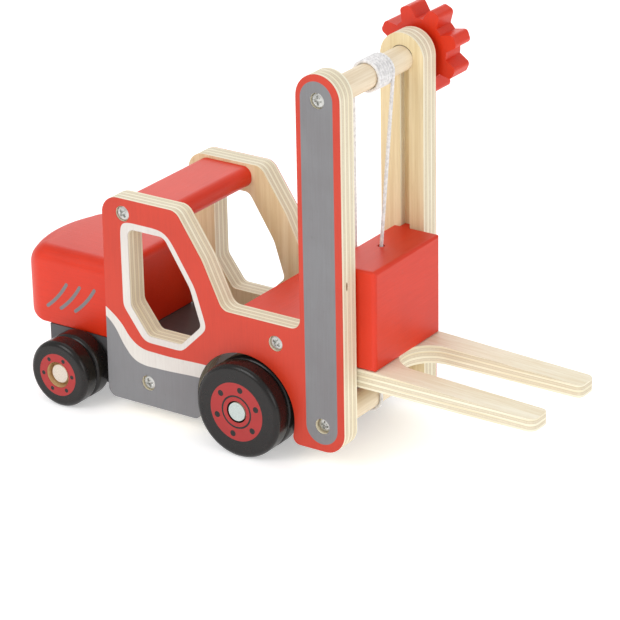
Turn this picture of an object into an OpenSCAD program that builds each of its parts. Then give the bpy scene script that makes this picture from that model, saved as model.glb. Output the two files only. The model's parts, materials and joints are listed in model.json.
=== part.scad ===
// Wooden toy forklift. A cord winch between the mast uprights raises the fork carriage.
// Millimetres, +X towards the fork tips, +Y to the toy's left, +Z up. The origin is on the ground under the
// middle of the whole toy. Parts are laid out from the truck's own middle plane, then moved there by at().

/* [Truck] */
// Clear width between the two side panels
gap_w = 62.8; // [62:0.2:64]
// Thickness of each side panel
ply = 12; // [11:0.5:12.5]
// Ground clearance under the panels and the chassis board
panel_bottom = 9; // [8.5:0.5:10]
// Height of the panels' level edge ahead of the cab
bonnet_z = 73.4; // [72:0.2:76]
// Height of the top of the cab
roof_z = 121.5; // [121:0.5:126]
// Height of the top of the rear body
body_top = 77; // [72:1:82]
// Radius of the rear body's curved end, seen from above
tail_r = 56; // [54:1:60]

/* [Mast and winch] */
// Half the width of a mast upright, and the radius of its round top
mast_r = 12.65; // [12:0.05:13]
// Height of the middle of the uprights' round tops
mast_top_z = 196.3; // [190:0.1:200]
// Radius of the drum
drum_r = 6.5; // [6:0.1:7]
// Number of teeth on the hand wheel
wheel_teeth = 8; // [6:1:9]
// Thickness of the hand wheel
wheel_t = 13.8; // [10:0.2:16]
// Radius of the hand wheel's tips
tooth_tip = 22.75; // [21:0.25:24]
// Radius of the dowel between the uprights' feet
dowel_r = 6.2; // [5.5:0.1:6.5]

/* [Cord] */
// Radius of the cord
cord_r = 1.0; // [0.9:0.02:1]
// Turns of cord on the drum
turns = 5; // [3:1:5]

/* [Carriage and forks] */
// Height of the top of the carriage block
block_top = 107.2; // [100:0.2:110]
// Height of the underside of the fork plate
fork_bottom = 43.9; // [43:0.1:45]
// Height of the top of the fork plate at the block
fork_top = 53.9; // [53:0.1:55]
// How far forward the fork tips reach
tip_x = 153.5; // [140:0.5:158]
// Half the width of the gap between the tines
slot_r = 15.8; // [14:0.2:17]

/* [Wheels] */
// Radius of the front wheels
front_r = 25.4; // [25:0.1:25.8]
// Radius of the rear wheels
rear_r = 18.3; // [18:0.1:18.6]
// Width of each of a wheel's two discs
disc_w = 11.15; // [10:0.05:12]
// Radius of the axles
axle_r = 5; // [4.5:0.1:5.2]

/* [Hidden] */
$fn = 64;
red = "#d7402f";
grey = "#707074";
bare = "#ecdfc3";
black = "#232121";
zinc = "#b8b8b4";
cotton = "#efece8";

// how far a cut runs past the face it opens
over = 1;
// half of the clear width, and the panels' outer faces
half = gap_w / 2;
out = half + ply;

// side panels, as X and Z
rear_edge = -94.7;
foot_bottom = 10.5;
mast_x = 40.35;
step_x = -10;
arch = [-6.8, 22.8];
arch_r = 30;
arch_ease = 4;
window = [
  [-77.8, 105.7, 4], [-77.8, 63.3, 6], [-67, 48.6, 4], [-46.3, 48.6, 3], [-33.2, 61.5, 3.5],
  [-39.5, 81.5, 20], [-54.8, 105.7, 5]
];

// grooves in the uprights that the carriage's tongues slide in
groove_x = 39.2;
groove_w = 5.4;
groove_d = 4.2;
groove_stop_z = 56.8;

// cross pieces
floor_z = 34.5;
chassis_rear = -141.9;
chassis_front = 24;
roof_board_rear = -86.5;
roof_board_front = -52.9;
roof_board_low = 108.6;
roof_board_high = 119.9;
bonnet_rear = -15.6;
bonnet_front = 26;

// rear body, with the middle of its curved end and its front face
tail_x = -108;
tail_front = -94;
tail_corner = 13;
tail_ease = 13;
tail_foot_ease = 6;
body_side_ease = 8;
body_front_ease = 5;

// winch
drum = [40.3, 195.7];
wheel_y = 46.8;
tooth_phase = 20;
tooth_root = 16.3;
tooth_foot = [12, 5.1];
tooth_half = 3.15;
tooth_ease = 2.3;
drum_end_gap = 0.15;
pivot_hole = 20;

// lower dowel
dowel = [40, 24.2];

// cord: the middle of it on the drum and round the lower dowel, and where its runs hang
cord_clear = 0.06;
turn_pitch = 2.02;
first_turn_y = 1.6;
rear_run_y = -0.45;
coil_r = drum_r + cord_r + cord_clear;
wrap_r = dowel_r + cord_r + cord_clear;
front_top = [drum[0] + coil_r, 12.1, drum[1]];
front_end = [46.5, 2, block_top];
rear_run_x = drum[0] - coil_r;
lower_run_x = dowel[0] + wrap_r;
cord_hole_r = 1.9;
upper_tail = 12;
lower_tail = 9;

// carriage
block_rear = 36.2;
block_front = 63.5;
block_half = half - 1.1;
block_ease = 1.8;
tongue_slack = 0.3;
tongue_root_y = 25;
tongue_z = 57;
tongue_top_gap = 0.6;
taper_x = 64.2;
tip_top = 50.25;
slot_x = 76.6;
tine_ease = 4.5;
tine_inner_ease = 3.5;

// wheels and axles, as X and Z
front_axis = [-4.8, front_r];
rear_axis = [-119.8, rear_r];
wheel_in = half + 0.6;
wheel_face = wheel_in + 2 * disc_w;
disc_ease_in = 2.6;
disc_ease_out = 3;
axle_run = 0.06;
front_hub = [5.9, 3.5];
rear_hub = [7.1, 6];
front_axle_short = 0.3;
rear_axle_short = 1.9;

// screws: places as X and Z, and how deep their heads sit below the panel's outer face
head_r = 3.7;
head_h = 1.6;
shank_r = 1.9;
seat_r = 4.2;
pilot = 18;
side_screw_l = 28;
pivot_screw_l = 30;
body_screw_l = 30;
fork_screw_l = 24;
cross_l = 4.2;
cross_w = 1.1;
cross_d = 1.1;
cross_turn = 20;
roof_screw = [-80.6, 113.4];
roof_seat = 1.8;
bonnet_screw = [12.6, 63];
chassis_screw = [-68.4, 21.8];
side_seat = 2.2;
dowel_seat = 3.4;
pivot_seat = 2.0;
body_screws_x = [-103, -134];
body_seat_r = 4.5;
body_seat = 12;
fork_screw = [50, 18];
fork_seat = 2.8;

// the move from the layout to the origin under the middle of the toy
shift_x = -(tip_x + tail_x - tail_r) / 2;
shift_y = -(wheel_y + wheel_t - wheel_face) / 2;

// ---- outlines whose corners carry true arcs ----

function unit(v) = v / norm(v);
function turn(a, b) = a[0] * b[1] - a[1] * b[0];
function flat(p) = [p[0], p[1]];
function along(p, q) = unit(flat(q) - flat(p));
// length cut off each side of a corner of radius r between directions a and b
function cut(a, b, r) = r * abs(turn(a, b)) / (1 + a * b);
// where the arc starts, where it ends, its middle, its radius, and 1 for a corner that stands out
function arc_at(q, a, b, r, s) = [q - a * cut(a, b, r), q + b * cut(a, b, r),
  q - a * cut(a, b, r) + s * r * [-a[1], a[0]], r, s];
function corner(p, i) =
  let(n = len(p), a = along(p[(i + n - 1) % n], p[i]), b = along(p[i], p[(i + 1) % n]))
  arc_at(flat(p[i]), a, b, p[i][2], turn(a, b) >= 0 ? 1 : -1);
function corner_points(c) = c[3] == 0 ? [c[0]] : c[4] > 0 ? [c[0], c[2], c[1]] : [c[0], c[1]];

// p: a list of [x, y, radius], anticlockwise
module rounded(p) {
  corners = [for (i = [0 : len(p) - 1]) corner(p, i)];
  difference() {
    union() {
      polygon([for (c = corners) each corner_points(c)]);
      for (c = corners)
        if (c[3] > 0 && c[4] > 0)
          translate(c[2]) circle(r = c[3]);
    }
    for (c = corners)
      if (c[3] > 0 && c[4] < 0)
        translate(c[2]) circle(r = c[3]);
  }
}

// the corners of a rectangle, all with one radius
function box_points(x0, y0, x1, y1, r) = [[x0, y0, r], [x1, y0, r], [x1, y1, r], [x0, y1, r]];

// ---- placing ----

// an outline in X and Z made solid from y0 to y1
module side(y0, y1) {
  translate([0, y1, 0]) rotate([90, 0, 0]) linear_extrude(height = y1 - y0) children();
}

// an outline in Y and Z made solid from x0 to x1
module section(x0, x1) {
  translate([x0, 0, 0]) rotate([90, 0, 90]) linear_extrude(height = x1 - x0) children();
}

// an outline in X and Y made solid from z0 to z1
module plan(z0, z1) {
  translate([0, 0, z0]) linear_extrude(height = z1 - z0) children();
}

// a cylinder about a line along Y at p, an X and a Z
module rod(p, r, y0, y1) {
  translate([p[0], y1, p[1]]) rotate([90, 0, 0]) cylinder(r = r, h = y1 - y0);
}

module mirror_y(on) {
  if (on)
    mirror([0, 1, 0]) children();
  else
    children();
}

module at() {
  translate([shift_x, shift_y, 0]) children();
}

// ---- side panels ----

// middle of the small rounding between a level edge at height z and the arch, behind (-1) or ahead (1)
function lip(z, s) = [arch[0] + s * sqrt(pow(arch_r + arch_ease, 2) - pow(z + arch_ease - arch[1], 2)),
  z + arch_ease];
function lip_touch(c) = arch + (c - arch) * arch_r / (arch_r + arch_ease);

module panel_body() {
  rounded([
    [rear_edge, panel_bottom, 5], [step_x, panel_bottom, 0], [step_x, foot_bottom, 0],
    [mast_x + mast_r, foot_bottom, 11.5], [mast_x + mast_r, mast_top_z, 0],
    [mast_x - mast_r, mast_top_z, 0], [mast_x - mast_r, bonnet_z, 6], [-19.9, bonnet_z, 6],
    [-31.5, 98, 25], [-47, roof_z, 7], [rear_edge + 1.1, roof_z, 9.8]
  ]);
}

module panel_outline() {
  rear_lip = lip(panel_bottom, -1);
  rear_touch = lip_touch(rear_lip);
  front_lip = lip(foot_bottom, 1);
  front_touch = lip_touch(front_lip);
  below = panel_bottom - over;
  difference() {
    union() {
      difference() {
        panel_body();
        translate(arch) circle(r = arch_r);
        polygon([
          [rear_lip[0], below], [2 * step_x, below], [2 * step_x, rear_touch[1]], rear_touch, rear_lip
        ]);
        polygon([
          [front_lip[0], below], front_lip, front_touch, [-step_x, front_touch[1]], [-step_x, below]
        ]);
      }
      translate(rear_lip) circle(r = arch_ease);
      translate(front_lip) circle(r = arch_ease);
      translate([mast_x, mast_top_z]) circle(r = mast_r);
    }
    rounded(window);
  }
}

// a counterbored screw hole in the right panel
module screw_hole(p, seat) {
  rod(p, seat_r, -out - over, -out + seat);
  rod(p, shank_r, -out - over, -half + over);
}

module drum_bearing() {
  rod(drum, drum_r + axle_run, -out - over, -half + over);
}

module pivot_bearing() {
  rod(drum, head_r + 0.35, -out - over, -out + pivot_seat);
  rod(drum, shank_r + axle_run, -out - over, -half + over);
}

module side_panel(left) {
  mirror_y(left) difference() {
    side(-out, -half) panel_outline();
    translate([groove_x, -half - groove_d, groove_stop_z])
      cube([groove_w, groove_d + over, drum[1] - groove_stop_z]);
    screw_hole(roof_screw, roof_seat);
    screw_hole(bonnet_screw, side_seat);
    screw_hole(chassis_screw, side_seat);
    screw_hole(dowel, dowel_seat);
    if (left)
      drum_bearing();
    else
      pivot_bearing();
  }
}

module right_side_panel() {
  color(red) at() side_panel(false);
}

module left_side_panel() {
  color(red) at() side_panel(true);
}

// ---- boards and blocks between the panels ----

// a blind screw hole in each end of a cross piece
module pilots(p) {
  for (left = [false, true])
    mirror_y(left) rod(p, shank_r, -half - over, -half + pilot);
}

module chassis_board() {
  color(grey) at() difference() {
    side(-half, half) rounded([
      [chassis_rear, panel_bottom, 2], [chassis_front, panel_bottom, 2],
      [chassis_front, floor_z, 0], [chassis_rear, floor_z, 0]
    ]);
    rod(front_axis, axle_r + axle_run, -half - over, half + over);
    rod(rear_axis, axle_r + axle_run, -half - over, half + over);
    pilots(chassis_screw);
    for (x = body_screws_x)
      translate([x, 0, panel_bottom - over]) {
        cylinder(r = shank_r, h = floor_z);
        cylinder(r = body_seat_r, h = body_seat + over);
      }
  }
}

// the rear body seen from above: two corners and the flat sides, left open where the curved end is
module tail_plan() {
  y = half - tail_corner;
  x = tail_x - sqrt(pow(tail_r - tail_corner, 2) - y * y);
  beyond = [x, y] + 2 * tail_corner * unit([x - tail_x, y]);
  polygon([
    [tail_front + 4, -half], [tail_front + 4, half], [x, half], [x, y], beyond,
    [beyond[0], -beyond[1]], [x, -y], [x, -half]
  ]);
  for (s = [-1, 1])
    translate([x, s * y]) circle(r = tail_corner);
}

module tail_end() {
  intersection() {
    translate([tail_x, 0, 0]) rotate_extrude() rounded([
      [0, floor_z, 0], [tail_r, floor_z, tail_foot_ease], [tail_r, body_top, tail_ease], [0, body_top, 0]
    ]);
    translate([tail_x - 60, -60, 30]) cube([60, 120, 60]);
  }
}

module rear_body() {
  color(red) at() difference() {
    intersection() {
      union() {
        tail_end();
        side(-half, half) rounded([
          [tail_x, floor_z, 0], [tail_front, floor_z, 0], [tail_front, body_top, body_front_ease],
          [tail_x, body_top, 0]
        ]);
      }
      section(-170, -90) rounded([
        [-half, 30, 0], [half, 30, 0], [half, body_top, body_side_ease], [-half, body_top, body_side_ease]
      ]);
      plan(30, 90) tail_plan();
    }
    for (x = body_screws_x)
      translate([x, 0, 30]) cylinder(r = shank_r, h = 22);
  }
}

module roof_board() {
  color(red) at() difference() {
    side(-half, half) rounded([
      [roof_board_rear, roof_board_low, 5], [roof_board_front, roof_board_low, 5],
      [roof_board_front, roof_board_high, 5], [roof_board_rear, roof_board_high, 5.5]
    ]);
    pilots(roof_screw);
  }
}

module bonnet_block() {
  color(red) at() difference() {
    side(-half, half) rounded(box_points(bonnet_rear, floor_z, bonnet_front, bonnet_z - 0.5, 0));
    pilots(bonnet_screw);
  }
}

module lower_dowel() {
  color(bare) at() difference() {
    rod(dowel, dowel_r, -half, half);
    pilots(dowel);
  }
}

// ---- winch ----

module winch_drum() {
  color(bare) at() difference() {
    rod(drum, drum_r, -half + drum_end_gap, wheel_y + wheel_t);
    rod(drum, shank_r, -half - over, -half + pivot_hole);
  }
}

module tooth() {
  rounded([
    [tooth_foot[0], -tooth_foot[1], 0], [tooth_tip, -tooth_half, tooth_ease],
    [tooth_tip, tooth_half, tooth_ease], [tooth_foot[0], tooth_foot[1], 0]
  ]);
}

module winch_hand_wheel() {
  color(red) at() translate([drum[0], wheel_y + wheel_t, drum[1]]) rotate([90, 0, 0])
    linear_extrude(height = wheel_t) difference() {
      union() {
        circle(r = tooth_root);
        for (i = [0 : wheel_teeth - 1])
          rotate(tooth_phase + i * 360 / wheel_teeth) tooth();
      }
      circle(r = drum_r);
    }
}

// ---- cord ----

module ring(r) {
  rotate_extrude() translate([r, 0]) circle(r = cord_r);
}

// a straight run of cord from p to q
module run(p, q) {
  d = q - p;
  translate(p) rotate([0, acos(d[2] / norm(d)), atan2(d[1], d[0])]) cylinder(r = cord_r, h = norm(d));
}

module cord_turns() {
  color(cotton) at() translate([drum[0], first_turn_y, drum[1]]) rotate([-90, 0, 0])
    for (i = [0 : turns - 1])
      translate([0, 0, i * turn_pitch]) ring(coil_r);
}

module cord_front_run() {
  color(cotton) at() run(front_end, front_top);
}

module cord_rear_run() {
  color(cotton) at() {
    run([dowel[0] - wrap_r, rear_run_y, dowel[1]], [rear_run_x, rear_run_y, drum[1]]);
    translate([dowel[0], rear_run_y, dowel[1]]) rotate([90, 0, 0]) intersection() {
      ring(wrap_r);
      translate([-20, -20, -5]) cube([40, 20, 10]);
    }
  }
}

module cord_lower_run() {
  color(cotton) at() run([lower_run_x, rear_run_y, dowel[1]], [lower_run_x, rear_run_y, fork_bottom]);
}

module cord_upper_tail() {
  color(cotton) at() run(front_end - [0, 0, upper_tail], front_end);
}

module cord_lower_tail() {
  color(cotton) at()
    run([lower_run_x, rear_run_y, fork_bottom], [lower_run_x, rear_run_y, fork_bottom + lower_tail]);
}

// ---- carriage ----

module block_body() {
  intersection() {
    plan(fork_top, block_top) rounded([
      [block_rear, -block_half, 2], [block_front, -block_half, 2.5], [block_front, block_half, 2.5],
      [block_rear, block_half, 2]
    ]);
    side(-out, out) rounded([
      [block_rear, fork_top, 0], [block_front, fork_top, 1.8], [block_front, block_top, 2.2],
      [block_rear, block_top, 1.5]
    ]);
    section(0, 100) rounded(box_points(-block_half, fork_top, block_half, block_top, block_ease));
  }
}

module tongue() {
  depth = groove_d - 0.4;
  translate([groove_x + tongue_slack, -half - depth, tongue_z]) cube([
    groove_w - 2 * tongue_slack, half + depth - tongue_root_y, block_top - tongue_z - tongue_top_gap
  ]);
}

module carriage_block() {
  color(red) at() difference() {
    union() {
      block_body();
      for (left = [false, true])
        mirror_y(left) tongue();
    }
    translate(front_end - [0, 0, upper_tail]) cylinder(r = cord_hole_r, h = upper_tail + over);
    for (s = [-1, 1])
      translate([fork_screw[0], s * fork_screw[1], fork_bottom]) cylinder(r = shank_r, h = 28);
  }
}

module fork_plan() {
  difference() {
    rounded([
      [block_rear, -block_half, 1.5], [tip_x, -block_half, tine_ease], [tip_x, -slot_r, tine_inner_ease],
      [slot_x, -slot_r, 0], [slot_x, slot_r, 0], [tip_x, slot_r, tine_inner_ease],
      [tip_x, block_half, tine_ease], [block_rear, block_half, 1.5]
    ]);
    translate([slot_x, 0]) circle(r = slot_r);
  }
}

module fork_plate() {
  color(bare) at() difference() {
    intersection() {
      plan(fork_bottom - over, fork_top + over) fork_plan();
      side(-out, out) polygon([
        [30, fork_bottom], [160, fork_bottom], [160, tip_top], [taper_x, fork_top], [30, fork_top]
      ]);
    }
    translate([lower_run_x, rear_run_y, fork_bottom - over]) cylinder(r = cord_hole_r, h = 20);
    for (s = [-1, 1])
      translate([fork_screw[0], s * fork_screw[1], fork_bottom - over]) {
        cylinder(r = shank_r, h = 20);
        cylinder(r = seat_r, h = fork_seat + over);
      }
  }
}

// ---- wheels and axles ----

// one disc of a wheel on the right, its inner face y from the middle; hub is a counterbore's radius and depth
module disc(axis, r, y, hub) {
  translate([axis[0], -y, axis[1]]) rotate([90, 0, 0]) difference() {
    rotate_extrude() rounded([[0, 0, 0], [r, 0, disc_ease_in], [r, disc_w, disc_ease_out], [0, disc_w, 0]]);
    translate([0, 0, -over]) cylinder(r = axle_r, h = disc_w + 2 * over);
    if (hub[1] > 0)
      translate([0, 0, disc_w - hub[1]]) cylinder(r = hub[0], h = hub[1] + over);
  }
}

module front_disc(left, outer) {
  mirror_y(left) disc(front_axis, front_r, outer ? wheel_in + disc_w : wheel_in, outer ? front_hub : [0, 0]);
}

module rear_disc(left, outer) {
  mirror_y(left) disc(rear_axis, rear_r, outer ? wheel_in + disc_w : wheel_in, outer ? rear_hub : [0, 0]);
}

module front_wheel_right_outer() {
  color(black) at() front_disc(false, true);
}

module front_wheel_right_inner() {
  color(black) at() front_disc(false, false);
}

module front_wheel_left_outer() {
  color(black) at() front_disc(true, true);
}

module front_wheel_left_inner() {
  color(black) at() front_disc(true, false);
}

module rear_wheel_right_outer() {
  color(black) at() rear_disc(false, true);
}

module rear_wheel_right_inner() {
  color(black) at() rear_disc(false, false);
}

module rear_wheel_left_outer() {
  color(black) at() rear_disc(true, true);
}

module rear_wheel_left_inner() {
  color(black) at() rear_disc(true, false);
}

module front_axle() {
  color(bare) at() rod(front_axis, axle_r, -wheel_face + front_axle_short, wheel_face - front_axle_short);
}

module rear_axle() {
  color(bare) at() rod(rear_axis, axle_r, -wheel_face + rear_axle_short, wheel_face - rear_axle_short);
}

// ---- screws ----

// pan head down at the origin, shank up
module screw(l) {
  difference() {
    union() {
      cylinder(r = head_r, h = head_h);
      cylinder(r = shank_r, h = l);
    }
    for (a = [0, 90])
      rotate(cross_turn + a) translate([-cross_l / 2, -cross_w / 2, cross_d - head_h])
        cube([cross_l, cross_w, head_h]);
  }
}

// a screw through a side panel, its head seated this deep
module side_screw(p, seat, l, left) {
  mirror_y(left) translate([p[0], -out + seat - head_h, p[1]]) rotate([-90, 0, 0]) screw(l);
}

// an upright screw whose head bears at height z
module up_screw(x, y, z, l) {
  translate([x, y, z - head_h]) screw(l);
}

module winch_pivot_screw() {
  color(zinc) at() side_screw(drum, pivot_seat - 0.1, pivot_screw_l, false);
}

module roof_screw_right() {
  color(zinc) at() side_screw(roof_screw, roof_seat, side_screw_l, false);
}

module roof_screw_left() {
  color(zinc) at() side_screw(roof_screw, roof_seat, side_screw_l, true);
}

module bonnet_screw_right() {
  color(zinc) at() side_screw(bonnet_screw, side_seat, side_screw_l, false);
}

module bonnet_screw_left() {
  color(zinc) at() side_screw(bonnet_screw, side_seat, side_screw_l, true);
}

module chassis_screw_right() {
  color(zinc) at() side_screw(chassis_screw, side_seat, side_screw_l, false);
}

module chassis_screw_left() {
  color(zinc) at() side_screw(chassis_screw, side_seat, side_screw_l, true);
}

module dowel_screw_right() {
  color(zinc) at() side_screw(dowel, dowel_seat, side_screw_l, false);
}

module dowel_screw_left() {
  color(zinc) at() side_screw(dowel, dowel_seat, side_screw_l, true);
}

module fork_screw_right() {
  color(zinc) at() up_screw(fork_screw[0], -fork_screw[1], fork_bottom + fork_seat, fork_screw_l);
}

module fork_screw_left() {
  color(zinc) at() up_screw(fork_screw[0], fork_screw[1], fork_bottom + fork_seat, fork_screw_l);
}

module body_screw_front() {
  color(zinc) at() up_screw(body_screws_x[0], 0, panel_bottom + body_seat, body_screw_l);
}

module body_screw_rear() {
  color(zinc) at() up_screw(body_screws_x[1], 0, panel_bottom + body_seat, body_screw_l);
}

// ---- output ----

right_side_panel();
left_side_panel();
chassis_board();
rear_body();
roof_board();
bonnet_block();
lower_dowel();
winch_drum();
winch_hand_wheel();
winch_pivot_screw();
cord_turns();
cord_front_run();
cord_rear_run();
cord_lower_run();
cord_upper_tail();
cord_lower_tail();
carriage_block();
fork_plate();
fork_screw_right();
fork_screw_left();
front_axle();
rear_axle();
front_wheel_right_outer();
front_wheel_right_inner();
front_wheel_left_outer();
front_wheel_left_inner();
rear_wheel_right_outer();
rear_wheel_right_inner();
rear_wheel_left_outer();
rear_wheel_left_inner();
roof_screw_right();
roof_screw_left();
bonnet_screw_right();
bonnet_screw_left();
chassis_screw_right();
chassis_screw_left();
dowel_screw_right();
dowel_screw_left();
body_screw_front();
body_screw_rear();
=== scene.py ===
"""The looks of the wooden toy forklift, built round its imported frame.

Metres, +X towards the fork tips, +Y to the toy's left, +Z up. Outlines are laid out in millimetres
from the wheel base, as the frame's own parts are, and moved to the frame by place().
"""
import json
import math

import bpy
from mathutils import Matrix, Vector

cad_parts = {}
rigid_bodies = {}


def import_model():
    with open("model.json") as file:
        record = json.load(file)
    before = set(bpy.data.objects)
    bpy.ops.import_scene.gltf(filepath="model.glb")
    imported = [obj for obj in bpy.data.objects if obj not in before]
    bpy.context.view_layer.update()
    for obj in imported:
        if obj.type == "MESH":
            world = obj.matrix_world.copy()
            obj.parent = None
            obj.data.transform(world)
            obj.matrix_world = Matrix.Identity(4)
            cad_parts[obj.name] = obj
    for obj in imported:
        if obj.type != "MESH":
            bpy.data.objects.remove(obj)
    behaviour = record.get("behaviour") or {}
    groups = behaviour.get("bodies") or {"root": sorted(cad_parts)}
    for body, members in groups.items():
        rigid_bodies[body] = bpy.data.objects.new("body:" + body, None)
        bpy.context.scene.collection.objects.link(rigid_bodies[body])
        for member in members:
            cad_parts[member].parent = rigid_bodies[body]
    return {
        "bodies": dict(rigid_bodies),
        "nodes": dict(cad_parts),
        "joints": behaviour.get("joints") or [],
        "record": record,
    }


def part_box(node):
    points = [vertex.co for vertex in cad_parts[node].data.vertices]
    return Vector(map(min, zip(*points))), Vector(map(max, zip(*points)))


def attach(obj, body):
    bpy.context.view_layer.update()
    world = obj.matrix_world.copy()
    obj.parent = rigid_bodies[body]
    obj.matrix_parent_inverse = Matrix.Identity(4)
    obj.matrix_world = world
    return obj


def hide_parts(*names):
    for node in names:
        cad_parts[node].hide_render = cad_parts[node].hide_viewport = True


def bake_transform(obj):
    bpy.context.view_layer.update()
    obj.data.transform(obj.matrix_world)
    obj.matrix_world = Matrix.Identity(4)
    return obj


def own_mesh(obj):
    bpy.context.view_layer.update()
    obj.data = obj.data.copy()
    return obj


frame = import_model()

MM = 0.001
NODES = frame["nodes"]
FRAME_NAMES = {o.name for o in NODES.values()} | {o.name for o in frame["bodies"].values()}
# only the frame stays, without Blender's start-up objects
for stray in [o for o in bpy.data.objects if o.name not in FRAME_NAMES]:
    bpy.data.objects.remove(stray)
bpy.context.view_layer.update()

# ---- sizes in millimetres ----

MAST_FRONT = 53.0                            # layout X of the panels' front edge
LOW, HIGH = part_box("right_side_panel")
LEFT_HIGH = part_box("left_side_panel")[1]
SHIFT_X = HIGH.x / MM - MAST_FRONT           # layout X to frame X
MID_Y = (LOW.y + LEFT_HIGH.y) / 2 / MM       # frame Y of the toy's middle plane
PLY = (HIGH.y - LOW.y) / MM                  # side panel thickness
HALF_GAP = MID_Y - HIGH.y / MM               # middle plane to a panel's inner face
WHEEL_FACE = MID_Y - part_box("front_wheel_right_outer")[0].y / MM
SKIN = 0.4                                   # how far the face paint wraps over an edge
JOINTS = {joint["name"]: joint for joint in frame["joints"]}


def pivot(joint):
    """Layout X and Z of a hinge."""
    x, _, z = JOINTS[joint]["pos_m"]
    return x / MM - SHIFT_X, z / MM


FRONT_AXLE = pivot("front_axle_turn")
REAR_AXLE = pivot("rear_axle_turn")
DRUM = pivot("winch_turn")
DRUM_R = 6.5                                 # winch drum
DOWEL_R = 6.2                                # lower dowel, which the cord runs round
DOWEL_LOW, DOWEL_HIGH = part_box("lower_dowel")
DOWEL = (DOWEL_HIGH.x / MM - DOWEL_R - SHIFT_X, (DOWEL_LOW.z + DOWEL_HIGH.z) / 2 / MM)
CORD_R = 1.0


def place(x, y, z):
    """A point laid out in millimetres, in the frame."""
    return Vector(((x + SHIFT_X) * MM, (y + MID_Y) * MM, z * MM))


def linear(value):
    """A display value from 0 to 255 as linear light."""
    value /= 255
    return value / 12.92 if value <= 0.04045 else ((value + 0.055) / 1.055) ** 2.4


def srgb(red, green, blue):
    """A display colour as the linear colour a shader takes."""
    return linear(red), linear(green), linear(blue), 1.0


RED = srgb(217, 46, 8)           # thick colour on the solid blocks
PRINT_RED = srgb(199, 50, 20)    # thinner colour printed on the plywood
GREY = srgb(123, 122, 124)
WHITE = srgb(216, 210, 203)
FLOOR_GREY = srgb(84, 82, 84)
BLACK = srgb(20, 17, 16)
WORN_BLACK = srgb(27, 24, 22)
HUB_RED = srgb(160, 46, 44)
PALE_HUB_RED = srgb(176, 46, 46)
# light and dark tones, of wood first
BIRCH = srgb(244, 238, 216), srgb(230, 217, 184)
VENEER = srgb(240, 224, 184), srgb(224, 202, 154)      # the panels' bare inner faces
DOWELLING = srgb(242, 227, 202), srgb(226, 206, 174)
HEARTWOOD = srgb(226, 196, 150), srgb(196, 158, 108)
END_GRAIN = srgb(224, 214, 200), srgb(204, 192, 176)
SILVER_END = srgb(196, 206, 202), srgb(176, 188, 184)  # the front axle's painted ends
PLY_CROSS = srgb(220, 206, 180), srgb(204, 187, 156)   # layers of plywood seen end on
ZINC = srgb(218, 218, 214), srgb(160, 160, 156)
COTTON = srgb(248, 246, 246), srgb(222, 220, 220)
# single tones
GLUE_LINE = srgb(162, 144, 114)
FLECK = srgb(196, 166, 118)
KNOT = srgb(120, 74, 26)
# painted shade for the clearance over the drum in the left panel
DRUM_GAP_SHADE = srgb(70, 52, 30)

# ---- camera, light and floor ----


CAMERA_TURN = 34.523, 23.258, -1.123         # azimuth, elevation and roll in degrees
CAMERA_TARGET = place(4.058, 0, 63.456)
CAMERA_DISTANCE = 1533.93 * MM
CAMERA_LENS = 174.55
LIT = Vector((0.0, 0.0, 0.08))               # the point that every light faces
LIGHTS = [                                   # name, place, width and power
    ("key", (-0.4, -1.2, 1.0), 0.9, 7),
    ("fill", (1.5, -0.6, 0.7), 1.0, 4.5),
    ("top", (-0.1, 0.5, 1.6), 1.6, 4),
    ("back", (-1.1, 1.5, 0.85), 1.3, 5.5),
]
FLOOR_REACH = 6.0


def make_camera():
    azimuth, elevation, roll = (math.radians(a) for a in CAMERA_TURN)
    level = math.cos(elevation)
    back = Vector((math.sin(azimuth) * level, -math.cos(azimuth) * level, math.sin(elevation)))
    right = Vector((math.cos(azimuth), math.sin(azimuth), 0))
    up = back.cross(right)
    rolled_right = right * math.cos(roll) + up * math.sin(roll)
    rolled_up = up * math.cos(roll) - right * math.sin(roll)
    data = bpy.data.cameras.new("camera")
    data.sensor_width = 36.0
    data.lens = CAMERA_LENS
    data.clip_start = 0.05
    data.clip_end = 20.0
    camera = bpy.data.objects.new("camera", data)
    bpy.context.scene.collection.objects.link(camera)
    turn = Matrix((rolled_right, rolled_up, back)).transposed().to_4x4()
    camera.matrix_world = Matrix.Translation(CAMERA_TARGET + back * CAMERA_DISTANCE) @ turn
    bpy.context.scene.camera = camera


def area_light(name, location, width, power):
    data = bpy.data.lights.new(name, "AREA")
    data.shape = "DISK"
    data.size = width
    data.energy = power
    light = bpy.data.objects.new(name, data)
    light.location = location
    light.rotation_euler = (LIT - Vector(location)).to_track_quat("-Z", "Y").to_euler()
    bpy.context.scene.collection.objects.link(light)


def make_floor():
    mesh = bpy.data.meshes.new("floor")
    corners = [(-1, -1), (1, -1), (1, 1), (-1, 1)]
    mesh.from_pydata([(x * FLOOR_REACH, y * FLOOR_REACH, 0) for x, y in corners], [], [(0, 1, 2, 3)])
    floor = bpy.data.objects.new("floor", mesh)
    bpy.context.scene.collection.objects.link(floor)
    look = Look("floor", 0.9)
    mottle = look.noise(look.scaled(look.point, 2, 2, 2), 2)
    pale = look.mix(mottle, srgb(250, 250, 250), srgb(253, 253, 253))
    look.colour(pale)
    look.feed(look.bsdf.inputs["Emission Color"], pale)
    look.feed(look.bsdf.inputs["Emission Strength"], look.blend(mottle, 0.36, 0.40))
    floor.data.materials.append(look.material)


def make_stage():
    world = bpy.data.worlds.new("studio")
    bpy.context.scene.world = world
    world.use_nodes = True
    background = world.node_tree.nodes["Background"]
    background.inputs["Color"].default_value = (1.0, 1.0, 1.0, 1.0)
    background.inputs["Strength"].default_value = 0.64
    bpy.context.scene.view_settings.view_transform = "Standard"
    for light in LIGHTS:
        area_light(*light)
    make_floor()

# ---- node materials ----


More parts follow.
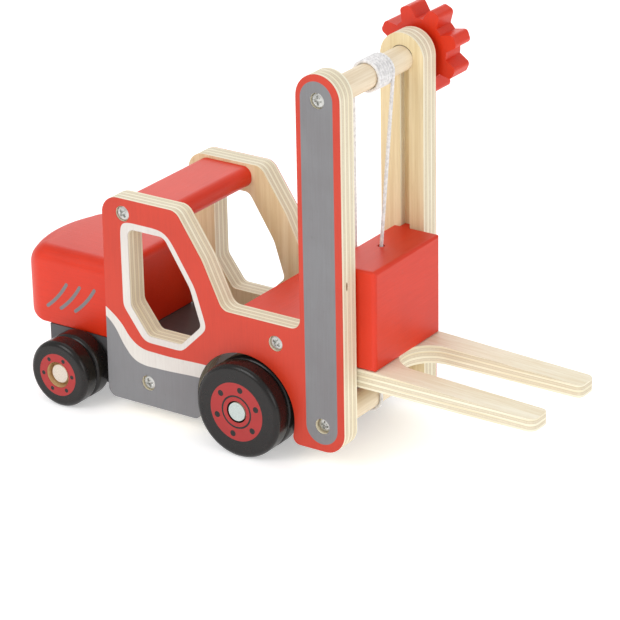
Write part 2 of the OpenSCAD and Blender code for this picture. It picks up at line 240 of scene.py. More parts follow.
class Look:
    """A node material, built up a socket at a time."""

    def __init__(self, name, roughness, **sockets):
        self.material = bpy.data.materials.new(name)
        self.material.use_nodes = True
        self.tree = self.material.node_tree
        self.bsdf = self.tree.nodes["Principled BSDF"]
        self.bsdf.inputs["Roughness"].default_value = roughness
        for socket, value in sockets.items():
            self.bsdf.inputs[socket.replace("_", " ")].default_value = value
        coordinates = self.add("ShaderNodeTexCoord")
        self.point = coordinates.outputs["Object"]
        self.normal = coordinates.outputs["Normal"]
        self.x, self.y, self.z = self.split(self.point)
        self.nx, self.ny, self.nz = self.split(self.normal)

    def add(self, kind, inputs=(), **settings):
        node = self.tree.nodes.new(kind)
        for key, value in settings.items():
            setattr(node, key, value)
        for index, value in dict(inputs).items():
            self.feed(node.inputs[index], value)
        return node

    def feed(self, socket, value):
        if isinstance(value, bpy.types.NodeSocket):
            self.tree.links.new(value, socket)
        else:
            socket.default_value = value

    def math(self, operation, a, b=0.0, c=0.0):
        return self.add("ShaderNodeMath", {0: a, 1: b, 2: c}, operation=operation).outputs[0]

    def split(self, vector):
        return self.add("ShaderNodeSeparateXYZ", {0: vector}).outputs

    def scaled(self, vector, x, y, z):
        return self.add("ShaderNodeVectorMath", {0: vector, 1: (x, y, z)}, operation="MULTIPLY").outputs[0]

    def noise(self, vector, detail=3.0, roughness=0.55):
        node = self.add("ShaderNodeTexNoise", {"Vector": vector, "Scale": 1.0, "Detail": detail,
                                               "Roughness": roughness})
        return node.outputs["Fac"]

    def ramp(self, value, low, high):
        """0 below low, 1 above high, smooth between. low may be above high."""
        node = self.add("ShaderNodeMapRange", {"Value": value, "From Min": low, "From Max": high},
                        interpolation_type="SMOOTHSTEP")
        return node.outputs["Result"]

    def mix(self, factor, a, b):
        return self.add("ShaderNodeMix", {0: factor, 6: a, 7: b}, data_type="RGBA").outputs[2]

    def blend(self, factor, a, b):
        return self.add("ShaderNodeMix", {0: factor, 2: a, 3: b}, data_type="FLOAT").outputs[0]

    def both(self, *masks):
        result = masks[0]
        for mask in masks[1:]:
            result = self.math("MULTIPLY", result, mask)
        return result

    def either(self, a, b):
        return self.math("MAXIMUM", a, b)

    def colour(self, value):
        self.feed(self.bsdf.inputs["Base Color"], value)

    def roughness(self, value):
        self.feed(self.bsdf.inputs["Roughness"], value)

    def bump(self, height, depth_mm, strength=1.0):
        node = self.add("ShaderNodeBump", {"Height": height, "Distance": depth_mm * MM, "Strength": strength})
        self.feed(self.bsdf.inputs["Normal"], node.outputs[0])

    def length(self, a, b):
        square = self.math("ADD", self.math("MULTIPLY", a, a), self.math("MULTIPLY", b, b))
        return self.math("SQRT", square)

    def layout(self):
        """Layout X and Z in millimetres, and the distance from the toy's middle plane."""
        x = self.math("SUBTRACT", self.math("DIVIDE", self.x, MM), SHIFT_X)
        z = self.math("DIVIDE", self.z, MM)
        y = self.math("SUBTRACT", self.math("DIVIDE", self.y, MM), MID_Y)
        return x, z, self.math("ABSOLUTE", y)

    def from_axis(self, x, z, centre):
        """How far layout X and Z are from an axis along Y, each way and in a straight line."""
        dx = self.math("SUBTRACT", x, centre[0])
        dz = self.math("SUBTRACT", z, centre[1])
        return dx, dz, self.length(dx, dz)


def along(axis, scale, others):
    """Noise scales for X, Y and Z that differ along one axis."""
    return [scale if name == axis else others for name in "xyz"]


def wood(look, axis, tones=BIRCH):
    """Colour and height of bare smooth wood with its grain along an axis."""
    bands = look.noise(look.scaled(look.point, *along(axis, 5, 120)), 3)
    streaks = look.noise(look.scaled(look.point, *along(axis, 26, 900)), 4)
    flecks = look.noise(look.scaled(look.point, *along(axis, 160, 2600)), 2)
    tone = look.math("ADD", look.math("MULTIPLY", bands, 0.55), look.math("MULTIPLY", streaks, 0.45))
    colour = look.mix(look.ramp(tone, 0.36, 0.66), *tones)
    fleck = look.math("MULTIPLY", look.ramp(flecks, 0.60, 0.74), 0.28)
    colour = look.mix(fleck, colour, FLECK)
    return colour, look.math("ADD", streaks, look.math("MULTIPLY", flecks, 0.6))


def plywood(look, depth, plies, face_axis, tones, edge, across):
    """Colour and height of plywood.

    depth runs from 0 to 1 through the sheet, edge is 1 where the layers show, and across is the axis
    through the sheet.
    """
    face, face_height = wood(look, face_axis, tones)
    wave = look.noise(look.scaled(look.point, 40, 40, 40), 2)
    wavy = look.math("ADD", depth, look.math("MULTIPLY", wave, 0.035))
    layer = look.math("MULTIPLY", wavy, plies)
    odd = look.math("MODULO", look.math("FLOOR", layer), 2.0)
    off_centre = look.math("ABSOLUTE", look.math("SUBTRACT", look.math("FRACT", layer), 0.5))
    glue = look.ramp(off_centre, 0.38, 0.50)
    lines = look.noise(look.scaled(look.point, *along(across, 1500, 22)), 4)
    speckle = look.noise(look.scaled(look.point, 1900, 1900, 1900), 2)
    long_grain = look.mix(look.ramp(lines, 0.35, 0.68), *BIRCH)
    cross_grain = look.mix(look.ramp(speckle, 0.35, 0.70), *PLY_CROSS)
    layers = look.mix(look.math("MULTIPLY", odd, 0.7), long_grain, cross_grain)
    layers = look.mix(look.math("MULTIPLY", glue, 0.55), layers, GLUE_LINE)
    height = look.math("SUBTRACT", look.math("MULTIPLY", speckle, 0.5), glue)
    return look.mix(edge, face, layers), look.blend(edge, face_height, height)


def coat(look, colour, axis):
    """Colour and height of a satin paint over wood, whose grain still shows through a little."""
    red, green, blue, _ = colour
    cloud = look.noise(look.scaled(look.point, 35, 35, 35), 3)
    grain = look.noise(look.scaled(look.point, *along(axis, 60, 1300)), 3)
    pores = look.noise(look.scaled(look.point, *along(axis, 420, 2600)), 2)
    lighter = (min(red * 1.04, 1), min(green * 1.05 + 0.001, 1), min(blue * 1.05 + 0.001, 1), 1)
    darker = (red * 0.94, green * 0.92, blue * 0.92, 1)
    tone = look.math("ADD", look.math("MULTIPLY", cloud, 0.6), look.math("MULTIPLY", grain, 0.4))
    painted = look.mix(look.ramp(tone, 0.34, 0.68), lighter, darker)
    pore = look.ramp(pores, 0.63, 0.74)
    pore_colour = (red * 0.55, green * 0.5, blue * 0.5, 1)
    painted = look.mix(look.math("MULTIPLY", pore, 0.42), painted, pore_colour)
    height = look.math("SUBTRACT", look.math("MULTIPLY", grain, 0.5), look.math("MULTIPLY", pore, 0.9))
    return painted, height


def paint_look(name, colour, axis, roughness=0.44):
    look = Look(name, roughness, Specular_IOR_Level=0.42)
    painted, height = coat(look, colour, axis)
    look.colour(painted)
    look.roughness(look.blend(height, roughness - 0.05, roughness + 0.10))
    look.bump(height, 0.07, 0.6)
    return look.material


def bare_look(name, axis, end_tones=END_GRAIN):
    """A dowel: long grain on its side, speckled sawn ends."""
    look = Look(name, 0.55)
    side, height = wood(look, axis, DOWELLING)
    end_normal = {"x": look.nx, "y": look.ny, "z": look.nz}[axis]
    end = look.ramp(look.math("ABSOLUTE", end_normal), 0.6, 0.8)
    speckle = look.noise(look.scaled(look.point, 2200, 2200, 2200), 2)
    sawn = look.mix(look.ramp(speckle, 0.35, 0.7), *end_tones)
    look.colour(look.mix(end, side, sawn))
    look.bump(height, 0.04, 0.4)
    return look.material


# each corner's x and z, the trim's width along the side after it, and how far its corner is smoothed
WINDOW = [
    (-77.8, 105.7, 4.7, 0.0), (-77.8, 63.3, 4.3, 2.6), (-67, 48.6, 3.6, 5.0), (-46.3, 48.6, 2.9, 3.5),
    (-33.2, 61.5, 3.2, 5.5), (-39.5, 81.5, 3.0, 1.5), (-54.8, 105.7, 3.6, 10.0),
]
STRIPE_TOP = [(-94.7, 59.8), (-85.1, 52.7), (-78.1, 44.5), (-72, 41), (-62, 40.1), (-31.5, 40.8)]
STRIPE_BOTTOM = [
    (-94.7, 54.6), (-89.6, 50), (-82.1, 38.7), (-77.3, 33.8), (-72.4, 31.9), (-61.2, 31.6), (-36, 32.8),
]
STRIPE_END = -6.8                            # the stripe stops in the wheel arch
BAND_X, BAND_HALF, BAND_LOW, BAND_HIGH = 39.7, 9.35, 23.7, 196.0
KNOT_Y, KNOT_Z, KNOT_HALF, KNOT_TALL = -39.1, 101.2, 0.65, 2.7
SHARP = 0.08                                 # half the soft edge of a panel's print, in millimetres
HUB_SHARP = 0.06                             # the same on a wheel's hub
CURVE_SPAN = 100.0                           # millimetres that a curve node's 0 to 1 stands for


def edge_line(look, x, points):
    """Height in millimetres of a smooth line through the points, at x millimetres."""
    start = points[0][0]
    along_x = look.math("DIVIDE", look.math("SUBTRACT", x, start), CURVE_SPAN)
    node = look.add("ShaderNodeFloatCurve", {1: along_x})
    curve = node.mapping.curves[0]
    spots = [((px - start) / CURVE_SPAN, pz / CURVE_SPAN) for px, pz in points]
    curve.points[0].location = spots[0]
    curve.points[1].location = (1.0, spots[-1][1])
    for spot in spots[1:]:
        curve.points.new(*spot)
    node.mapping.update()
    return look.math("MULTIPLY", node.outputs[0], CURVE_SPAN)


def below(look, value, limit):
    """1 where a value is under a limit, with the soft edge of a print."""
    return look.ramp(look.math("SUBTRACT", value, limit), SHARP, -SHARP)


def knot_mask(look, x, z):
    """A small knot in the front edge of the right upright."""
    y = look.math("SUBTRACT", look.math("DIVIDE", look.y, MM), MID_Y + KNOT_Y)
    y = look.math("DIVIDE", y, KNOT_HALF)
    z = look.math("DIVIDE", look.math("SUBTRACT", z, KNOT_Z), KNOT_TALL)
    spot = look.math("ADD", look.math("MULTIPLY", y, y), look.math("MULTIPLY", z, z))
    ragged = look.noise(look.scaled(look.point, 900, 900, 500), 2)
    spot = look.math("ADD", spot, look.math("MULTIPLY", ragged, 0.8))
    return look.both(look.ramp(spot, 1.5, 0.9), look.ramp(x, MAST_FRONT - 3, MAST_FRONT - 2))


def painted_drum_gap_shade_mask(look, x, z):
    """Painted shade: a dark ring over the drum, in its hole in the left panel, where the clearance lies in
    shadow.
    """
    drum_r = look.from_axis(x, z, DRUM)[2]
    near = look.ramp(drum_r, DRUM_R + 0.45, DRUM_R + 0.3)
    upper = look.ramp(look.math("SUBTRACT", z, DRUM[1]), 1.0, 4.0)
    return look.both(near, upper, look.math("GREATER_THAN", look.y, 0.0))


def window_trim_mask(look, x, z):
    """A band round the window, inside the line that each of its sides is moved out to."""
    outside = None
    for (x0, z0, width, rounding), (x1, z1, _, _) in zip(WINDOW, WINDOW[1:] + WINDOW[:1]):
        length = math.hypot(x1 - x0, z1 - z0)
        nx = (z1 - z0) / length
        nz = (x0 - x1) / length
        across = look.math("ADD", look.math("MULTIPLY", x, nx), look.math("MULTIPLY", z, nz))
        side = look.math("SUBTRACT", across, nx * x0 + nz * z0 + width)
        outside = side if outside is None else look.math("SMOOTH_MAX", outside, side, rounding)
    return look.ramp(outside, SHARP, -SHARP)


def band_mask(look, x, z):
    """The upright's band, with round ends."""
    nearest = look.math("MAXIMUM", look.math("MINIMUM", z, BAND_HIGH), BAND_LOW)
    reach = look.length(look.math("SUBTRACT", z, nearest), look.math("SUBTRACT", x, BAND_X))
    return look.ramp(reach, BAND_HALF + SHARP, BAND_HALF - SHARP)


def bare_panel(look, x, z, off_middle):
    """Colour and height of the panels' inner faces and edges."""
    depth = look.math("DIVIDE", look.math("SUBTRACT", off_middle, HALF_GAP), PLY)
    edge = look.ramp(look.math("ABSOLUTE", look.ny), 0.75, 0.6)
    bare, height = plywood(look, depth, 7, "z", VENEER, edge, "y")
    bare = look.mix(knot_mask(look, x, z), bare, KNOT)
    # painted shade: a dark ring where the drum's clearance lies in shadow
    return look.mix(painted_drum_gap_shade_mask(look, x, z), bare, DRUM_GAP_SHADE), height


def printed_panel(look, x, z):
    """Colour and height of the panels' outer faces: red, with grey and white areas."""
    red, height = coat(look, PRINT_RED, "z")
    grey = coat(look, GREY, "z")[0]
    white = coat(look, WHITE, "z")[0]
    behind_arch = look.math("LESS_THAN", x, STRIPE_END)
    under_stripe_top = look.both(below(look, z, edge_line(look, x, STRIPE_TOP)), behind_arch)
    under_stripe = look.both(below(look, z, edge_line(look, x, STRIPE_BOTTOM)), behind_arch)
    printed = look.mix(under_stripe_top, red, white)
    printed = look.mix(under_stripe, printed, grey)
    printed = look.mix(window_trim_mask(look, x, z), printed, white)
    return look.mix(band_mask(look, x, z), printed, grey), height


def panel_look():
    look = Look("side_panel", 0.45)
    x, z, off_middle = look.layout()
    bare, bare_height = bare_panel(look, x, z, off_middle)
    printed, height = printed_panel(look, x, z)
    face = look.ramp(look.math("SUBTRACT", off_middle, HALF_GAP + PLY), -SKIN - 0.1, -SKIN + 0.1)
    look.colour(look.mix(face, bare, printed))
    look.roughness(look.blend(face, 0.58, 0.40))
    look.bump(look.blend(face, bare_height, height), 0.05, 0.5)
    return look.material


def dots_mask(look, dx, dz, radius, dot_r, dot_ring, first_dot):
    """Six dots round an axle. first_dot is one dot's angle in degrees."""
    sector = math.radians(60)
    start = math.radians(first_dot) - sector / 2 - 4 * math.pi
    angle = look.math("SUBTRACT", look.math("ARCTAN2", dz, dx), start)
    turned = look.math("SUBTRACT", look.math("MODULO", angle, sector), sector / 2)
    outward = look.math("SUBTRACT", look.math("MULTIPLY", radius, look.math("COSINE", turned)), dot_ring)
    sideways = look.math("MULTIPLY", radius, look.math("SINE", turned))
    return look.ramp(look.length(outward, sideways), dot_r + HUB_SHARP, dot_r - HUB_SHARP)


def wheel_look(name, axle, hub_r, dot_r, dot_ring, first_dot, ring=None, recess_r=None):
    """Gloss black wood with a printed hub: a red disc with six black dots.

    ring is the inner and outer radius of a black ring, and recess_r the radius of a bare recess round
    the axle's end, for the wheels that have one.
    """
    look = Look(name, 0.22, Specular_IOR_Level=0.36)
    x, z, off_middle = look.layout()
    dx, dz, radius = look.from_axis(x, z, axle)
    face = look.ramp(off_middle, WHEEL_FACE - 0.3, WHEEL_FACE - 0.1)
    disc = look.ramp(radius, hub_r + HUB_SHARP, hub_r - HUB_SHARP)
    dark = dots_mask(look, dx, dz, radius, dot_r, dot_ring, first_dot)
    if ring:
        past_inner = look.ramp(radius, ring[0] - HUB_SHARP, ring[0] + HUB_SHARP)
        within_outer = look.ramp(radius, ring[1] + HUB_SHARP, ring[1] - HUB_SHARP)
        dark = look.either(dark, look.both(past_inner, within_outer))
    printed = look.both(disc, face, look.math("SUBTRACT", 1.0, dark))
    grain = look.noise(look.scaled(look.point, *along("y", 1400, 90)), 3)
    cloud = look.noise(look.scaled(look.point, 120, 120, 120), 3)
    black = look.mix(cloud, BLACK, WORN_BLACK)
    red = look.mix(cloud, HUB_RED, PALE_HUB_RED)
    colour = look.mix(printed, black, red)
    if recess_r:
        hollow = look.both(look.ramp(radius, recess_r + 0.25, recess_r + 0.05),
                           look.ramp(off_middle, WHEEL_FACE - 0.15, WHEEL_FACE - 0.35),
                           look.ramp(off_middle, WHEEL_FACE - 7.0, WHEEL_FACE - 6.5))
        colour = look.mix(hollow, colour, wood(look, "z", HEARTWOOD)[0])
    look.colour(colour)
    look.roughness(look.blend(printed, look.blend(cloud, 0.18, 0.34), 0.5))
    look.bump(grain, 0.03, 0.35)
    return look.material


def zinc_look():
    look = Look("zinc_screw", 0.30, Metallic=0.92)
    fine = look.noise(look.scaled(look.point, 1500, 1500, 1500), 3)
    cloud = look.noise(look.scaled(look.point, 350, 350, 350), 2)
    look.colour(look.mix(cloud, *ZINC))
    look.roughness(look.blend(fine, 0.22, 0.42))
    look.bump(fine, 0.03, 0.3)
    return look.material


def cotton_look():
    look = Look("cotton_cord", 0.85, Sheen_Weight=0.4, Sheen_Roughness=0.5)
    fibre = look.noise(look.scaled(look.point, 5000, 5000, 5000), 3)
    cloud = look.noise(look.scaled(look.point, 600, 600, 600), 2)
    look.colour(look.mix(look.ramp(cloud, 0.3, 0.7), *COTTON))
    look.bump(fibre, 0.05, 0.4)
    return look.material


def fork_look():
    low, high = (v.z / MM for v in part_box("fork_plate"))
    look = Look("fork_plywood", 0.55)
    z = look.math("DIVIDE", look.z, MM)
    depth = look.math("DIVIDE", look.math("SUBTRACT", z, low), high - low)
    edge = look.ramp(look.math("ABSOLUTE", look.nz), 0.8, 0.6)
    colour, height = plywood(look, depth, 7, "x", BIRCH, edge, "z")
    look.colour(colour)
    look.bump(height, 0.04, 0.5)
    return look.material

# ---- frame parts that keep their own shape ----


def smoothing():
    """A node group that shades a mesh smooth except across sharp edges."""
    group = bpy.data.node_groups.new("smooth_by_angle", "GeometryNodeTree")
    group.interface.new_socket("Geometry", in_out="INPUT", socket_type="NodeSocketGeometry")
    group.interface.new_socket("Geometry", in_out="OUTPUT", socket_type="NodeSocketGeometry")
    start = group.nodes.new("NodeGroupInput")
    end = group.nodes.new("NodeGroupOutput")
    faces = group.nodes.new("GeometryNodeSetShadeSmooth")
    edges = group.nodes.new("GeometryNodeSetShadeSmooth")
    edges.domain = "EDGE"
    angle = group.nodes.new("GeometryNodeInputMeshEdgeAngle")
    flat = group.nodes.new("FunctionNodeCompare")
    flat.operation = "LESS_THAN"
    flat.inputs["B"].default_value = math.radians(32)
    group.links.new(start.outputs[0], faces.inputs["Geometry"])
    group.links.new(faces.outputs[0], edges.inputs["Geometry"])
    group.links.new(angle.outputs["Unsigned Angle"], flat.inputs["A"])
    group.links.new(flat.outputs[0], edges.inputs["Shade Smooth"])
    group.links.new(edges.outputs[0], end.inputs[0])
    return group


SMOOTHING = smoothing()
WELD = 0.002 * MM


def finish_node(name, material, bevel=0.0):
    """Gives a frame part its material, eased edges and smooth shading. Its mesh points stay as they are."""
    part = NODES[name]
    bpy.context.view_layer.objects.active = part
    bpy.ops.mesh.customdata_custom_splitnormals_clear()
    part.data.materials.clear()
    part.data.materials.append(material)
    part.modifiers.new("weld", "WELD").merge_threshold = WELD
    if bevel:
        ease = part.modifiers.new("ease", "BEVEL")
        ease.width = bevel * MM
        ease.segments = 3
        ease.limit_method = "ANGLE"
        ease.angle_limit = math.radians(40)
    part.modifiers.new("smooth", "NODES").node_group = SMOOTHING
    part.modifiers.new("flats", "WEIGHTED_NORMAL").keep_sharp = True

# ---- pieces made here ----


def new_piece(name, vertices, faces, material, body, smooth=True):
    mesh = bpy.data.meshes.new(name)
    mesh.from_pydata(vertices, [], faces)
    mesh.validate()
    mesh.materials.append(material)
    if smooth:
        mesh.shade_smooth()
    piece = bpy.data.objects.new(name, mesh)
    bpy.context.scene.collection.objects.link(piece)
    if body:
        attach(piece, body)
    return piece


TAIL_LOW, TAIL_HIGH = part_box("rear_body")
TAIL_FRONT = TAIL_HIGH.x / MM - SHIFT_X
TAIL_R = 56.0                    # the curved end, seen from above
TAIL_X = TAIL_LOW.x / MM - SHIFT_X + TAIL_R
TAIL_CORNER = 13.0               # the rear corners
TAIL_NOSE = 1.5                  # the front corners
TOP_EASE = 8.0, 13.0, 4.5        # at the sides, the rear and the front
FOOT_EASE = 1.2, 6.0, 1.0


def tail_outline(steps):
    """Points and outward normals round the rear body seen from above, in layout millimetres."""
    y = HALF_GAP - TAIL_CORNER
    inner = TAIL_R - TAIL_CORNER
    x = TAIL_X - math.sqrt(inner ** 2 - y ** 2)
    meet = math.asin(y / inner)
    nose = TAIL_FRONT - TAIL_NOSE
    half = []
    for i in range(steps + 1):                    # the curved end, from its middle to the right
        a = math.pi + meet * i / steps
        half.append((TAIL_X + TAIL_R * math.cos(a), TAIL_R * math.sin(a), math.cos(a), math.sin(a)))
    for i in range(1, steps + 1):                 # right rear corner
        a = math.pi + meet + (math.pi / 2 - meet) * i / steps
        half.append((x + TAIL_CORNER * math.cos(a), -y + TAIL_CORNER * math.sin(a), math.cos(a), math.sin(a)))
    for i in range(1, steps):                     # right side
        half.append((x + (nose - x) * i / steps, -HALF_GAP, 0.0, -1.0))
    for i in range(steps // 2 + 1):               # right front corner
        a = -math.pi / 2 + math.pi * i / steps
        half.append((nose + TAIL_NOSE * math.cos(a), -HALF_GAP + TAIL_NOSE * (1 + math.sin(a)),
                     math.cos(a), math.sin(a)))
    for i in range(1, steps // 2 + 1):            # right half of the front
        half.append((TAIL_FRONT, (TAIL_NOSE - HALF_GAP) * (1 - 2 * i / steps), 1.0, 0.0))
    return half + [(px, -py, nx, -ny) for px, py, nx, ny in reversed(half[1:-1])]


def tail_point(point, a, top, low, high):
    """A point of the outline at angle a round the easing at the body's top or foot."""
    x, y, nx, ny = point
    inset = 1 - math.cos(a)
    side, rear, front = TOP_EASE if top else FOOT_EASE
    if nx >= 0:                                   # sides and front keep their corner and move it in
        x = min(x, TAIL_FRONT - TAIL_NOSE * (1 - nx)) - (front * inset if nx > 0 else 0)
        x = min(x, TAIL_FRONT - front * inset - (TAIL_NOSE if nx == 0 else 0))
        y -= math.copysign(min(side * inset, abs(y)), y) * min(1, abs(y) / (HALF_GAP - TAIL_NOSE))
        ease = side + (front - side) * nx
    else:
        ease = side + (rear - side) * -nx
        x -= nx * ease * inset
        y -= ny * ease * inset
    z = high - ease + ease * math.sin(a) if top else low + ease - ease * math.sin(a)
    return place(x, y, z)


def rear_body(material):
    """The engine cover: a curved end, a broad easing round its top and a smaller one round its foot."""
    low = TAIL_LOW.z / MM
    high = TAIL_HIGH.z / MM
    outline = tail_outline(18)
    rounds = 10
    rings = [(math.pi / 2 * (1 - i / rounds), False) for i in range(rounds + 1)]
    rings += [(math.pi / 2 * i / rounds, True) for i in range(rounds + 1)]
    vertices = [tail_point(point, a, top, low, high) for a, top in rings for point in outline]
    n = len(outline)
    faces = []
    for k in range(len(rings) - 1):
        for i in range(n):
            j = (i + 1) % n
            faces.append((k * n + i, k * n + j, (k + 1) * n + j, (k + 1) * n + i))
    faces.append(tuple(reversed(range(n))))
    faces.append(tuple(range((len(rings) - 1) * n, len(rings) * n)))
    piece = new_piece("engine_cover", vertices, faces, material, "truck")
    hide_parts("rear_body")


SLASHES = [                      # each dash's foot and head, as X and Z
    ((-142.9, 44.5), (-129.6, 59.2)),
    ((-134.0, 44.8), (-120.8, 59.4)),
    ((-124.4, 45.2), (-111.0, 59.9)),
]
SLASH_BOW, SLASH_WIDTH, SLASH_PROUD, SLASH_SUNK = -0.9, 1.9, 0.06, 0.05


def dash_end(centre, along, half, steps):
    """Points round one end of a dash that runs out in the direction along."""
    (x, z), (ux, uz) = centre, along
    points = []
    for i in range(1, steps):
        a = math.pi * i / steps
        out = half * math.sin(a)
        side = half * math.cos(a)
        points.append((x - uz * side + ux * out, z + ux * side + uz * out))
    return points


def dash_outline(start, end):
    """A slightly bowed dash with round ends."""
    steps, cap_steps = 14, 8
    (x0, z0), (x1, z1) = start, end
    length = math.hypot(x1 - x0, z1 - z0)
    ux = (x1 - x0) / length
    uz = (z1 - z0) / length
    middle = []
    for i in range(steps + 1):
        t = i / steps
        bow = SLASH_BOW * 4 * t * (1 - t)
        middle.append((x0 + (x1 - x0) * t - uz * bow, z0 + (z1 - z0) * t + ux * bow))
    half = SLASH_WIDTH / 2
    outline = [(x - uz * half, z + ux * half) for x, z in middle]
    outline += dash_end(end, (ux, uz), half, cap_steps)
    outline += [(x + uz * half, z - ux * half) for x, z in reversed(middle)]
    return outline + dash_end(start, (-ux, -uz), half, cap_steps)


def painted_dash(name, start, end, y, material):
    """A painted dash on a side face of the rear body, a film with its back just inside the face."""
    outline = dash_outline(start, end)
    side = math.copysign(1, y)
    vertices = [place(x, y - side * SLASH_SUNK, z) for x, z in outline]
    vertices += [place(x, y + side * SLASH_PROUD, z) for x, z in outline]
    n = len(outline)
    faces = [tuple(range(n)), tuple(reversed(range(n, 2 * n)))]
    faces += [(i, i + n, (i + 1) % n + n, (i + 1) % n) for i in range(n)]
    if side < 0:
        faces = [tuple(reversed(face)) for face in faces]
    piece = new_piece(name, vertices, faces, material, "truck", smooth=False)


HEAD_R, HEAD_H, DOME = 3.7, 1.0, 0.62               # radius, rim height and height of the dome
CROSS_REACH, CROSS_HALF, CROSS_DEEP = 2.35, 0.46, 1.0
CROSS_END_SLOPE, CROSS_SIDE_SLOPE = 0.5, 0.22
TICK_REACH, TICK_END_SLOPE, TICK_HALF, TICK_SIDE_SLOPE, TICK_PART = 0.95 * CROSS_REACH, 0.4, 0.16, 0.1, 0.25
FIRST_TURN, NEXT_TURN, TURN_COUNT = 20, 37, 5       # the heads' crosses stand at different angles
BODY_OF = {node: body for body, nodes in frame["record"]["behaviour"]["bodies"].items() for node in nodes}


def clamp(value):
    return min(1, max(0, value))


def head_height(x, y):
    """Height of a domed screw head's top over its rim, with the driver's cross cut into it."""
    r = math.hypot(x, y)
    height = DOME * (1 - (r / HEAD_R) ** 2) ** 0.8 if r < HEAD_R else 0.0
    cross = 0.0
    for u, v in ((x, y), (y, x)):
        reach = clamp((CROSS_REACH - abs(u)) / CROSS_END_SLOPE)
        width = clamp((CROSS_HALF + CROSS_SIDE_SLOPE - abs(v)) / CROSS_SIDE_SLOPE)
        cross = max(cross, reach * width)
    for u, v in ((x + y, x - y), (x - y, x + y)):      # the fine ticks between the arms
        reach = clamp((TICK_REACH - abs(u) / math.sqrt(2)) / TICK_END_SLOPE)
        width = clamp((TICK_HALF - abs(v) / math.sqrt(2)) / TICK_SIDE_SLOPE)
        cross = max(cross, TICK_PART * reach * width)
    return height - CROSS_DEEP * cross


def screw_head(node, material):
    """A domed head with a driver's cross, in place of the frame's plain one. The shank is out of sight."""
    low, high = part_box(node)
    middle = (low + high) / 2
    if high.z - low.z > high.y - low.y:                # a screw that goes up from below
        seat = Vector((middle.x, middle.y, low.z))
        out = Vector((0, 0, -1))
    else:
        side = -1 if middle.y / MM < MID_Y else 1
        seat = Vector((middle.x, low.y if side < 0 else high.y, middle.z))
        out = Vector((0, side, 0))
    across = Vector((1, 0, 0))
    away = out.cross(across)
    turn = math.radians(FIRST_TURN + NEXT_TURN * (sum(ord(letter) for letter in node) % TURN_COUNT))
    rings, sectors = 34, 96
    vertices = []
    for i in range(rings + 1):
        r = HEAD_R * i / rings
        for k in range(sectors):
            a = 2 * math.pi * k / sectors
            height = head_height(r * math.cos(a), r * math.sin(a)) - DOME
            tip = across * math.cos(a + turn) + away * math.sin(a + turn)
            vertices.append(seat + (tip * r + out * height) * MM)
    for k in range(sectors):                           # the rim, down to the seat
        a = 2 * math.pi * k / sectors + turn
        tip = across * math.cos(a) + away * math.sin(a)
        vertices.append(seat + (tip * HEAD_R - out * (HEAD_H + DOME)) * MM)
    faces = []
    for i in range(rings + 1):
        for k in range(sectors):
            m = (k + 1) % sectors
            faces.append((i * sectors + k, (i + 1) * sectors + k, (i + 1) * sectors + m, i * sectors + m))
    faces.append(tuple(reversed(range((rings + 1) * sectors, (rings + 2) * sectors))))
    piece = new_piece(f"{node}_head", vertices, faces, material, BODY_OF[node])
    piece.modifiers.new("weld", "WELD").merge_threshold = WELD
    piece.modifiers.new("smooth", "NODES").node_group = SMOOTHING
    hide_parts(node)

# ---- cord ----

LOBES = 3
LOBE_DEPTH = 0.08                # half a strand's height, as a part of the cord's radius
LAY = 5.2                        # length of cord for one turn of its strands
STEP = 0.45                      # between rings of the cord's mesh
SIDES = 18


def rope(name, path, material, body, closed=False):
    """A three-strand cord along dense points given in layout millimetres."""
    points = [Vector(p) for p in path]
    count = len(points)
    tangents = []
    for i in range(count):
        before = points[i - 1] if closed or i else points[0]
        after = points[(i + 1) % count] if closed or i < count - 1 else points[-1]
        tangents.append((after - before).normalized())
    across = tangents[0].orthogonal().normalized()
    lay = LAY
    if closed:                       # a whole number of the strands' turns
        total = sum((points[(i + 1) % count] - points[i]).length for i in range(count))
        lay = total / max(1, round(total / LAY))
    distance = 0.0
    vertices = []
    for i in range(count):
        if i:
            distance += (points[i] - points[i - 1]).length
            across = (across - tangents[i] * across.dot(tangents[i])).normalized()
        up = tangents[i].cross(across)
        spin = 2 * math.pi * distance / lay
        for k in range(SIDES):
            a = 2 * math.pi * k / SIDES
            r = CORD_R * (1 - LOBE_DEPTH + LOBE_DEPTH * math.cos(LOBES * a))
            p = points[i] + (across * math.cos(a + spin) + up * math.sin(a + spin)) * r
            vertices.append(place(*p))
    faces = []
    for i in range(count if closed else count - 1):
        j = (i + 1) % count
        for k in range(SIDES):
            m = (k + 1) % SIDES
            faces.append((i * SIDES + k, i * SIDES + m, j * SIDES + m, j * SIDES + k))
    if not closed:
        faces.append(tuple(reversed(range(SIDES))))
        faces.append(tuple(range((count - 1) * SIDES, count * SIDES)))
    piece = new_piece(name, vertices, faces, material, body)
    return piece


def line(p, q):
    p, q = Vector(p), Vector(q)
    steps = max(2, round((q - p).length / STEP))
    return [p.lerp(q, i / steps) for i in range(steps + 1)]


def arc(centre, radius, y0, y1, start, end):
    """Points round an axis along Y, from one angle to another in degrees, sliding from y0 to y1."""
    steps = max(3, round(abs(math.radians(end - start)) * radius / STEP))
    points = []
    for i in range(steps + 1):
        a = math.radians(start + (end - start) * i / steps)
        y = y0 + (y1 - y0) * i / steps
        points.append(Vector((centre[0] + radius * math.cos(a), y, centre[1] + radius * math.sin(a))))
    return points


GAP = 0.06                       # between the cord and what it lies on
COIL_R = DRUM_R + CORD_R + GAP
WRAP_R = DOWEL_R + CORD_R + GAP
FIRST_Y, PITCH, TURNS = 1.6, 2.02, 5
REAR_Y = -0.45
FRONT_Y = 12.1
FRONT_FOOT = 46.5, 2.0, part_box("carriage_block")[1].z / MM
FORK_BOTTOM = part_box("fork_plate")[0].z / MM


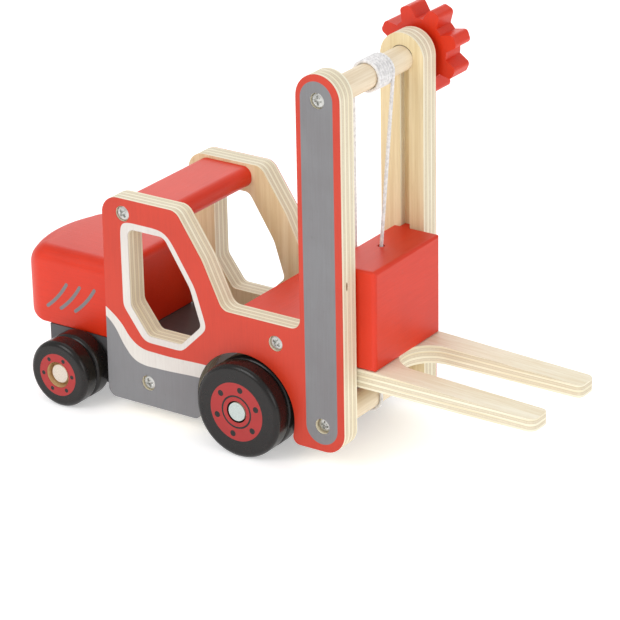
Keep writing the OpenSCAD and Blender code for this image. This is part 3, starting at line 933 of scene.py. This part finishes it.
def front_cord(material):
    """The run from the carriage to the drum, made at one length on the truck; on the real toy it shortens as
    the carriage rises.
    """
    top = DRUM[0] + COIL_R, FRONT_Y, DRUM[1]
    front = rope("cord_front", line(FRONT_FOOT, top), material, "truck")
    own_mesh(front)
    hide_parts("cord_front_run")
    rope("cord_front_lead", arc(DRUM, COIL_R, FRONT_Y, FRONT_Y - 0.1, 0, 330), material, "truck")


def rear_cord(material):
    """Half round the lower dowel, up behind the carriage and on to the drum."""
    wrap = arc(DOWEL, WRAP_R, REAR_Y, REAR_Y, 360, 180)
    rise = line((DOWEL[0] - WRAP_R, REAR_Y, DOWEL[1]), (DRUM[0] - COIL_R, REAR_Y, DRUM[1]))
    around = arc(DRUM, COIL_R, REAR_Y, REAR_Y, 180, -150)
    rear = rope("cord_rear", wrap[:-1] + rise[:-1] + around, material, "truck")
    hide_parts("cord_rear_run")


def coil(material):
    """The turns on the drum."""
    for i in range(TURNS):
        y = FIRST_Y + i * PITCH
        path = arc(DRUM, COIL_R, y, y, 0, 360)[:-1]
        rope(f"cord_turn_{i + 1}", path, material, "winch", closed=True)
    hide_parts("cord_turns")


def lower_cord(material):
    """The run from the lower dowel up to the fork plate, made at one length; on the real toy it lengthens as
    the carriage rises.
    """
    foot = DOWEL[0] + WRAP_R, REAR_Y, DOWEL[1]
    end = DOWEL[0] + WRAP_R, REAR_Y, FORK_BOTTOM
    lower = rope("cord_lower", line(foot, end), material, None)
    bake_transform(lower)
    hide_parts("cord_lower_run")

# ---- build ----


make_camera()
make_stage()

panel = panel_look()
red_long = paint_look("red_paint_long", RED, "x")
red_cross = paint_look("red_paint_cross", RED, "y")
red_up = paint_look("red_paint_upright", RED, "z")
grey_long = paint_look("grey_paint", FLOOR_GREY, "x")
grey_mark = paint_look("grey_mark", GREY, "x")
zinc = zinc_look()
cotton = cotton_look()

for side in ("right", "left"):
    finish_node(f"{side}_side_panel", panel, 0.7)
finish_node("chassis_board", grey_long, 0.8)
finish_node("roof_board", red_cross, 0.4)
finish_node("bonnet_block", red_cross, 1.2)
finish_node("carriage_block", red_cross, 0.3)
finish_node("fork_plate", fork_look(), 1.1)
finish_node("lower_dowel", bare_look("dowel", "y"))
finish_node("winch_drum", bare_look("drum", "y"), 0.4)
finish_node("winch_hand_wheel", red_up, 1.2)
for node in NODES:
    if "screw" in node:
        screw_head(node, zinc)
    if node.endswith("tail"):
        finish_node(node, cotton)

front_look = wheel_look("front_wheel", FRONT_AXLE, hub_r=15.9, dot_r=1.65, dot_ring=12.6, first_dot=18.7,
                        ring=(8.1, 9.1))
rear_look = wheel_look("rear_wheel", REAR_AXLE, hub_r=11.75, dot_r=1.15, dot_ring=9.4, first_dot=4.5,
                       recess_r=7.1)
finish_node("front_axle", bare_look("front_axle_wood", "y", SILVER_END), 0.4)
finish_node("rear_axle", bare_look("rear_axle_wood", "y"), 0.4)
for end, look in (("front", front_look), ("rear", rear_look)):
    for side in ("right", "left"):
        for disc in ("outer", "inner"):
            finish_node(f"{end}_wheel_{side}_{disc}", look, 0.3)

rear_body(red_long)
for number, (foot, head) in enumerate(SLASHES, 1):
    for side, y in (("right", -HALF_GAP), ("left", HALF_GAP)):
        painted_dash(f"slash_{side}_{number}", foot, head, y, grey_mark)
front_cord(cotton)
rear_cord(cotton)
coil(cotton)
lower_cord(cotton)
